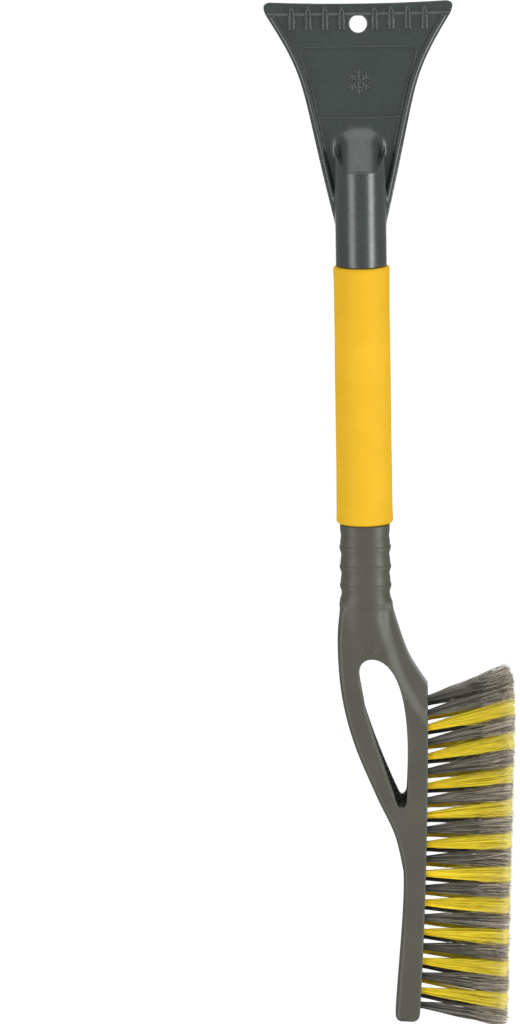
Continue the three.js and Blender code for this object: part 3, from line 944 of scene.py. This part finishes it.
def build_stock():
    low = (-19.5, -STOCK_HALF_DEPTH - 4.5, STOCK_BOTTOM - 2)
    high = (40, STOCK_HALF_DEPTH + 4.5, COLLAR_TOP + 2)
    parts = [surface_net(stock_field, low, high, STOCK_STEP)]
    parts += collar_lines() + ejector_rings()
    points, normals, quads = merge(parts)
    piece = make_piece("brush_stock_moulding", points, [quads], STOCK_PLASTIC, normals)
    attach(piece, "root")
    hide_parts("brush_stock")


# ------------------------------------------------------------------------------------------------
# Bristle tufts
# ------------------------------------------------------------------------------------------------

def trim_x(z):
    """Where the bristles are cut off: a straight line, turned in a little at the top."""
    return TRIM_X - 0.0378 * np.maximum(TRIM_TURN - z, 0) - 0.11 * np.maximum(z - TRIM_TURN, 0)


def tuft_place(row, number):
    """A tuft's place in pitches below the first tuft, and its depth."""
    if row == "back":
        return number + 0.5, TUFT_ROW
    return float(number), -TUFT_ROW


def crimp_wave(random, run, shortest, variation):
    """A wave along each filament, with a length and a phase of its own."""
    wavelength = shortest + variation * random.random((len(run), 1))
    return np.sin(run / wavelength + 6.3 * random.random((len(run), 1)))


def filament_paths(random, index, depth, count, crimp, stray):
    """Centre lines of one tuft's filaments, as (filament, station, xyz), and how far along each is."""
    height = TUFT_FIRST - index * TUFT_PITCH
    lean = float(tuft_lean(np.array(index)))
    stations = 13
    t = np.linspace(0, 1, stations)
    radius = np.sqrt(random.random(count))
    turn = random.random(count) * 2 * math.pi
    up, side = radius * np.sin(turn), radius * np.cos(turn)
    wander = np.clip(random.normal(0, 1, (count, 2)), -1.8, 1.8) * stray
    start = face_x(height) - TUFT_ROOT_DEPTH * math.cos(lean)
    length = (trim_x(height + 50 * math.sin(lean) + up * 5) - start) / math.cos(lean)
    length = length + random.normal(0, 0.75, count)
    run = length[:, None] * t
    free = np.clip((run - TUFT_ROOT_DEPTH) / (length[:, None] - TUFT_ROOT_DEPTH), 0, 1)
    flare = 1 - (1 - free) ** 1.7
    wave_up = crimp * crimp_wave(random, run, 3.4, 1.6)
    wave_side = crimp * crimp_wave(random, run, 3.1, 1.8)
    rise = up[:, None] * (1.75 + 3.15 * flare) + free * (wander[:, :1] * flare + wave_up)
    swing = side[:, None] * (1.75 + 3.9 * flare) + free * (wander[:, 1:] * flare + wave_side)
    x = start + run * math.cos(lean) - rise * math.sin(lean)
    z = height + (run - TUFT_ROOT_DEPTH) * math.sin(lean) + rise * math.cos(lean)
    x = np.minimum(x, BRISTLE_LIMIT_X)
    y = np.clip(depth + swing, -BRISTLE_LIMIT_DEPTH, BRISTLE_LIMIT_DEPTH)
    return np.stack([x, y, z], axis=2), free


def split_tips(random, paths, free, share):
    """Three fine split ends on some of the filaments, and how far along each point is."""
    count = len(paths)
    chosen = np.flatnonzero(random.random(count) < share)
    start = paths[chosen, -5]
    end = paths[chosen, -1]
    tips, along = [], []
    t = np.linspace(0, 1, 5)[:, None]
    for _ in range(3):
        spread = random.normal(0, 1, (len(chosen), 3)) * (0.3, 1.2, 1.2)
        target = end + spread
        curl = random.normal(0, 0.9, (len(chosen), 3))
        steps = start[:, None] * (1 - t) + target[:, None] * t + curl[:, None] * (t * (1 - t) * 2)
        tips.append(steps)
        along.append(np.broadcast_to(0.8 + 0.2 * t[:, 0], (len(chosen), 5)))
    return np.concatenate(tips), np.concatenate(along)


def strands(paths, along, tone, radius, tip_radius):
    """Three-sided filaments along the paths, closed at both ends, with two values for each point."""
    count, stations, _ = paths.shape
    tangent = paths[:, -1] - paths[:, 0]
    tangent /= np.linalg.norm(tangent, axis=1)[:, None]
    side = np.cross(tangent, (0.0, 0.0, 1.0))
    side /= np.linalg.norm(side, axis=1)[:, None]
    rise = np.cross(side, tangent)
    size = radius + (tip_radius - radius) * np.linspace(0, 1, stations) ** 3
    turns = np.arange(3) * 2 * math.pi / 3
    ring = side[:, None] * np.cos(turns)[None, :, None] + rise[:, None] * np.sin(turns)[None, :, None]
    points = paths[:, :, None] + ring[:, None] * size[None, :, None, None]
    first = (np.arange(count) * stations * 3)[:, None, None]
    row = (np.arange(stations - 1) * 3)[None, :, None]
    column = np.arange(3)[None, None, :]
    beside = (column + 1) % 3
    here = first + row
    corners = (here + column, here + 3 + column, here + 3 + beside, here + beside)
    quads = quads_from(corners, (count, stations - 1, 3))
    last = (stations - 1) * 3
    roots = first[:, 0] + np.array([0, 1, 2])
    ends = first[:, 0] + last + np.array([2, 1, 0])
    fade = np.broadcast_to(along[:, :, None], (count, stations, 3)).ravel()
    shade = np.broadcast_to(tone[:, None, None], (count, stations, 3)).ravel()
    return points.reshape(-1, 3), quads, np.vstack([roots, ends]), fade, shade


def build_tuft(row, number):
    """One tuft: its filaments, a few that stray further, and the split ends."""
    index, depth = tuft_place(row, number)
    dark = (number == 0 or number % 2 == 1) if row == "front" else number % 2 == 0
    random = np.random.default_rng(1000 + 2 * number + (row == "back"))
    crimp = 0.46 if dark else 0.14
    stray_count = 24 if index == 0 else 7
    inner = 1 < index < 19
    bundles = []
    paths, along = filament_paths(random, index, depth, FILAMENTS, crimp, 0.75 if dark else 0.5)
    bundles.append((paths, along, 0.19, 0.16))
    for count, reach in ((stray_count, 2.3 if index < 20 else 1.0), (3 if inner else 0, 5.0)):
        stray_paths, stray_along = filament_paths(random, index, depth, count, 0.2, reach)
        bundles.append((stray_paths, stray_along, 0.17, 0.13))
    tips, tips_along = split_tips(random, paths, along, 0.75 if dark else 0.3)
    bundles.append((tips, tips_along, 0.1, 0.07))
    points, quads, triangles, fades, shades = [], [], [], [], []
    offset = 0
    for paths, along, radius, tip_radius in bundles:
        tone = random.random(len(paths)) ** (1.5 if dark else 0.8)
        made = strands(paths, along, tone, radius, tip_radius)
        points.append(made[0])
        quads.append(made[1] + offset)
        triangles.append(made[2] + offset)
        fades.append(made[3])
        shades.append(made[4])
        offset += len(made[0])
    name = f"tuft_{row}_{number + 1:02d}"
    material = DARK_BRISTLE if dark else YELLOW_BRISTLE
    attributes = {"along": np.concatenate(fades), "tone": np.concatenate(shades)}
    faces = [np.vstack(quads), np.vstack(triangles)]
    piece = make_piece(f"{name}_filaments", np.vstack(points), faces, material, attributes=attributes)
    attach(piece, "root")
    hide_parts(name)


def build_anchors():
    """A short wire across the bottom of each tuft's hole, which pins the filaments in."""
    parts = []
    for row, count in (("front", TUFT_FRONT), ("back", TUFT_BACK)):
        for number in range(count):
            index, depth = tuft_place(row, number)
            height = TUFT_FIRST - index * TUFT_PITCH
            x = face_x(height) - TUFT_ROOT_DEPTH * 0.96
            z = height - TUFT_ROOT_DEPTH * math.sin(float(tuft_lean(np.array(index))))
            path = [(x, depth + 1.7 * s, z) for s in (-1, -0.5, 0, 0.5, 1)]
            parts.append(bead(path, 0.25, (1, 0, 0)))
    points, normals, quads = merge(parts)
    piece = make_piece("tuft_anchor_wires", points, [quads], STEEL, normals)
    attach(piece, "root")


# ------------------------------------------------------------------------------------------------
# Camera, lights and floor
# ------------------------------------------------------------------------------------------------

def build_camera():
    """An orthographic camera a little above the tool, rolled so that the tool leans left."""
    forward = Vector((0, math.cos(VIEW_ELEVATION), -math.sin(VIEW_ELEVATION)))
    up_level = Vector((0, math.sin(VIEW_ELEVATION), math.cos(VIEW_ELEVATION)))
    right_level = Vector((1, 0, 0))
    right = right_level * math.cos(VIEW_ROLL) - up_level * math.sin(VIEW_ROLL)
    up = right_level * math.sin(VIEW_ROLL) + up_level * math.cos(VIEW_ROLL)
    data = bpy.data.cameras.new("camera")
    data.type = "ORTHO"
    data.ortho_scale = VIEW_HEIGHT
    data.clip_end = 60
    camera = bpy.data.objects.new("camera", data)
    hole_front = Vector((0, -BLADE_HALF * MM, 0))
    centre = hole_front - right * HOLE_RIGHT - up * HOLE_ABOVE
    turn = Matrix((right, up, -forward)).transposed().to_4x4()
    camera.matrix_world = Matrix.Translation(centre - forward * 2.0) @ turn
    bpy.context.scene.collection.objects.link(camera)
    bpy.context.scene.camera = camera


def softbox(name, place, target, width, height, radiance, reflected=True):
    """A soft rectangular light aimed at the target, of the same radiance whatever its size."""
    data = bpy.data.lights.new(name, "AREA")
    data.shape = "RECTANGLE"
    data.size = width
    data.size_y = height
    data.energy = radiance * math.pi * width * height
    light = bpy.data.objects.new(name, data)
    place = Vector(place)
    light.location = place
    light.rotation_euler = (Vector(target) - place).to_track_quat("-Z", "Y").to_euler()
    light.visible_camera = False
    light.visible_glossy = reflected
    bpy.context.scene.collection.objects.link(light)


def build_lights():
    """Two tall softboxes in front make the bright bands. The side ones only fill in."""
    middle = (0, 0, -0.3)
    uprights = (
        ("softbox_left", -40, 0.66, 3.0, True),
        ("softbox_right", 49, 0.58, 5.8, True),
        ("softbox_side_left", -88, 1.0, 1.2, False),
        ("softbox_side_right", 90, 1.0, 0.3, False),
    )
    for name, azimuth, width, radiance, reflected in uprights:
        angle = math.radians(azimuth)
        place = (1.5 * math.sin(angle), -1.5 * math.cos(angle), -0.55)
        softbox(name, place, middle, width, 1.7, radiance, reflected)
    softbox("softbox_top", (0, -0.5, 1.2), (0, 0, -0.2), 1.6, 1.2, 1.5)
    softbox("softbox_back", (0, 1.8, 0.2), middle, 1.4, 1.6, 1.6)

    world = bpy.data.worlds.new("studio")
    world.use_nodes = True
    tree = world.node_tree
    background = tree.nodes["Background"]
    background.inputs["Color"].default_value = (1, 1, 1, 1)
    seen = tree.nodes.new("ShaderNodeLightPath")
    level = tree.nodes.new("ShaderNodeMapRange")
    level.inputs["To Min"].default_value = 0.32
    level.inputs["To Max"].default_value = 1.0
    tree.links.new(seen.outputs["Is Camera Ray"], level.inputs["Value"])
    tree.links.new(level.outputs["Result"], background.inputs["Strength"])
    bpy.context.scene.world = world


def build_floor():
    s = Shader("pale_floor")
    base = s.blend(s.noise(1.5, 3), (0.79, 0.785, 0.77), (0.81, 0.805, 0.79))
    s.link(base, s.surface.inputs["Base Color"])
    s.surface.inputs["Roughness"].default_value = 0.9
    s.surface.inputs["Specular IOR Level"].default_value = 0.1
    s.surface.inputs["Emission Color"].default_value = (1, 0.995, 0.98, 1)
    s.surface.inputs["Emission Strength"].default_value = 0.8
    mesh = bpy.data.meshes.new("floor")
    reach, height = 24.0, -1.6
    signs = ((-1, -1), (1, -1), (1, 1), (-1, 1))
    corners = [(reach * across, reach * deep, height) for across, deep in signs]
    mesh.from_pydata(corners, [], [(0, 1, 2, 3)])
    mesh.materials.append(s.material)
    floor = bpy.data.objects.new("floor", mesh)
    floor.visible_diffuse = False
    floor.visible_glossy = False
    bpy.context.scene.collection.objects.link(floor)


# ------------------------------------------------------------------------------------------------
# Everything
# ------------------------------------------------------------------------------------------------

build_camera()
build_lights()
build_floor()
build_head()
build_foam()
finish_tube()
build_stock()
for tuft_number in range(TUFT_FRONT):
    build_tuft("front", tuft_number)
for tuft_number in range(TUFT_BACK):
    build_tuft("back", tuft_number)
build_anchors()

bpy.context.scene.view_settings.view_transform = "Standard"
